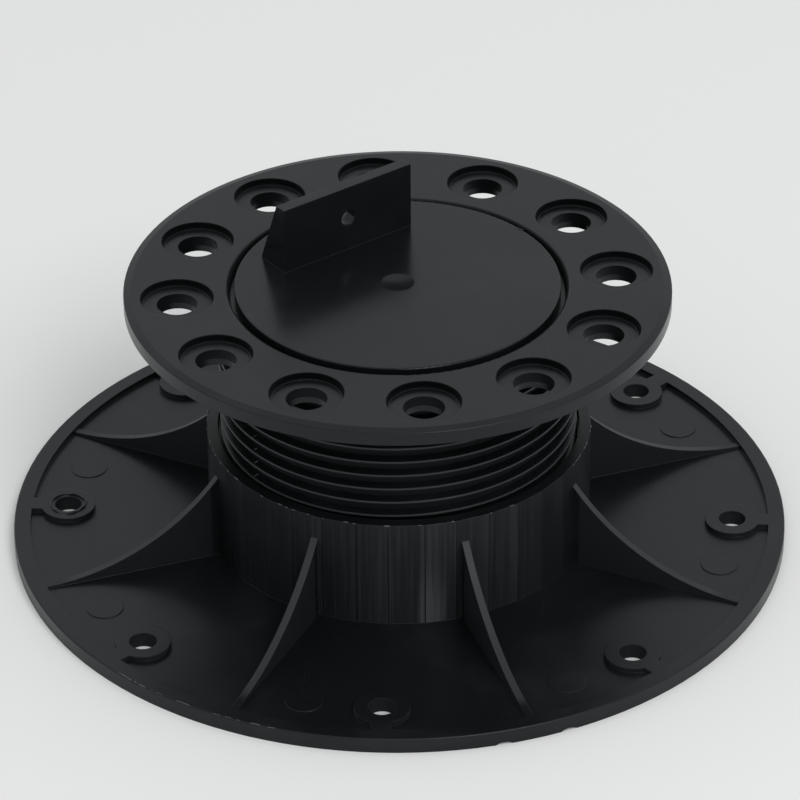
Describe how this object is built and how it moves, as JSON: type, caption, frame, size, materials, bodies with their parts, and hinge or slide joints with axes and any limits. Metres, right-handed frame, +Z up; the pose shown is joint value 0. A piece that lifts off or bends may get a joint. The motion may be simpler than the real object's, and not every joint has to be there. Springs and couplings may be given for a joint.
{
  "type": "decking pedestal",
  "caption": "Adjustable decking pedestal: a ribbed round base with a threaded collar, a flanged head that screws up and down in it, and a turning disc with an upright fin for a joist.",
  "frame": {"origin": "centre of the base's underside, where the thread's axis meets the ground", "axes": "+Z up along the thread's axis, +X to the right and -Y towards the viewer of the picture"},
  "size_m": [0.203, 0.203, 0.0928],
  "materials": {
    "black_plastic": "satin black moulded plastic"
  },
  "bodies": {
    "base": {"base": "black_plastic"},
    "disc": {"joist_disc": "black_plastic"},
    "head": {"threaded_head": "black_plastic"}
  },
  "joints": [
    {"name": "height", "type": "slide", "parent": "base", "child": "disc", "axis": [0, 0, 1], "range_m": [-0.016, 0.004]},
    {"name": "head_turn", "type": "hinge", "parent": "disc", "child": "head", "pos_m": [0, 0, 0.074], "axis": [0, 0, 1], "range_deg": [-1440, 360]}
  ],
  "couplings": [
    {"joint": "height", "follows": "head_turn", "m_per_rad": 0.00063662}
  ]
}
